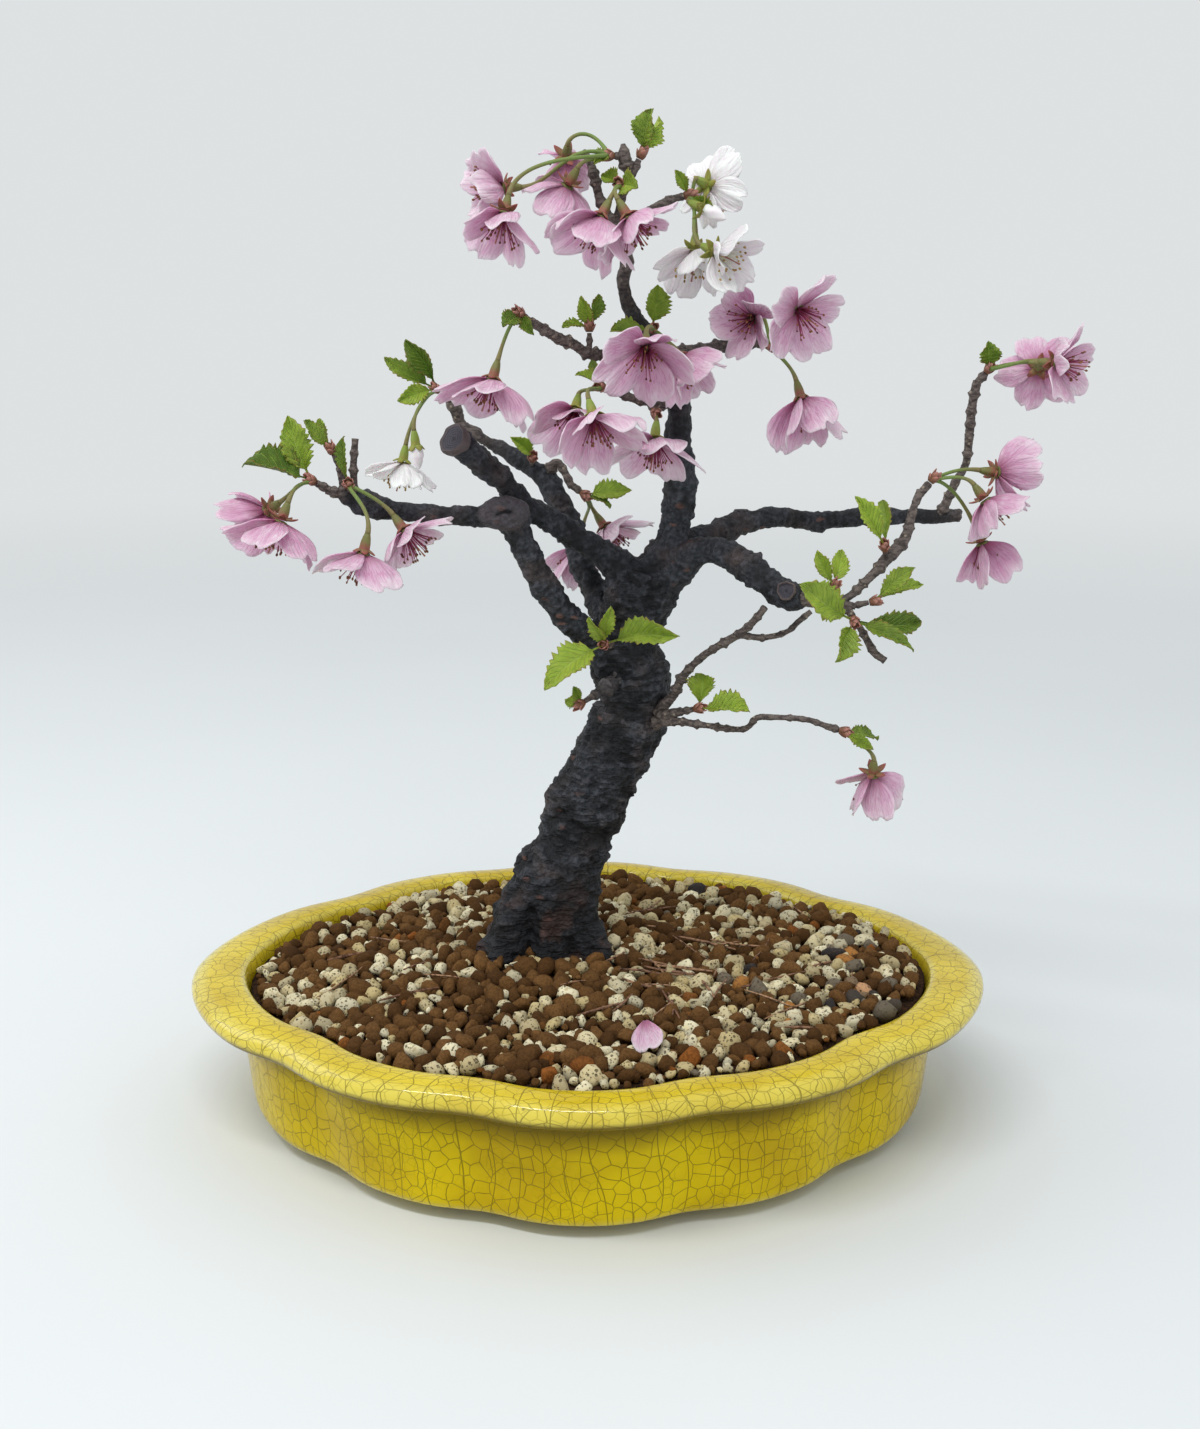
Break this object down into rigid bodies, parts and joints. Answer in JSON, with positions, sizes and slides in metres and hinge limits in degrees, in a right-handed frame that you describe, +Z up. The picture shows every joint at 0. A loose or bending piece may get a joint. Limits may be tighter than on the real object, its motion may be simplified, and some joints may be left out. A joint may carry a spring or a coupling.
{
  "type": "flowering bonsai tree",
  "caption": "Small leaning cherry tree in blossom with young leaves, rooted in gritty soil in a low lobed oval pot with a flared lip and corner feet.",
  "frame": {"origin": "bottom centre of the bounding box, at the level the pot's feet stand on", "axes": "+Z up, +X to the right as seen from the tree's front, -Y toward the front; the pot's long axis lies along X"},
  "size_m": [0.3364, 0.246, 0.3675],
  "materials": {
    "glaze": "glossy yellow glaze with an olive net of crackle lines",
    "soil": "loose grains of brown baked clay and cream pumice, matte",
    "screen": "matte black plastic mesh",
    "bark": "rough dark bark with rings and small raised pores",
    "young_growth": "fresh green leaves and stalks, reddish calyxes",
    "pink_petal": "soft satin pink petals, deeper at the base",
    "white_petal": "soft satin white petals"
  },
  "bodies": {
    "root": {"pot": "glaze", "soil": "soil", "drain_screen_left": "screen", "drain_screen_right": "screen", "tree_wood": "bark", "fallen_petal": "pink_petal", "shoot_apex_bud": "young_growth", "bloom_apex_bud_1": "pink_petal", "bloom_apex_bud_2": "pink_petal", "bloom_apex_bud_3": "pink_petal", "bloom_apex_bud_4": "pink_petal", "shoot_apex_leaf": "young_growth", "shoot_apex_side": "young_growth", "bloom_apex_side_1": "pink_petal", "shoot_white": "young_growth", "bloom_white_1": "white_petal", "bloom_white_2": "white_petal", "bloom_white_3": "white_petal", "shoot_right_tip": "young_growth", "bloom_right_tip_1": "pink_petal", "bloom_right_tip_2": "pink_petal", "bloom_right_tip_3": "pink_petal", "shoot_apex_front": "young_growth", "bloom_apex_front_1": "pink_petal", "bloom_apex_front_2": "pink_petal", "shoot_left_tip": "young_growth", "bloom_left_tip_1": "pink_petal", "shoot_left_leaf": "young_growth", "shoot_low_left": "young_growth", "bloom_low_left_1": "pink_petal", "bloom_low_left_2": "pink_petal", "shoot_low_front": "young_growth", "bloom_low_front_1": "pink_petal", "shoot_inner": "young_growth", "bloom_inner_1": "pink_petal", "bloom_inner_2": "pink_petal", "shoot_inner_leaf": "young_growth", "shoot_back_tip": "young_growth", "bloom_back_tip_1": "white_petal", "shoot_end_spur": "young_growth", "bloom_end_spur_1": "pink_petal", "bloom_end_spur_2": "pink_petal", "shoot_end_top": "young_growth", "bloom_end_top_1": "pink_petal", "shoot_end_twig": "young_growth", "shoot_grey_leaf": "young_growth", "shoot_high_right": "young_growth", "bloom_high_right_1": "pink_petal", "bloom_high_right_2": "pink_petal", "shoot_grey_tip": "young_growth", "bloom_grey_tip_1": "pink_petal", "bloom_grey_tip_3": "pink_petal", "shoot_fork_leaf": "young_growth", "shoot_right_rosette": "young_growth", "shoot_right_shoot": "young_growth", "shoot_trunk_leaf": "young_growth", "shoot_trunk_bud": "young_growth", "shoot_low_right": "young_growth", "shoot_low_tip": "young_growth", "bloom_low_tip_1": "pink_petal"}
  },
  "joints": []
}
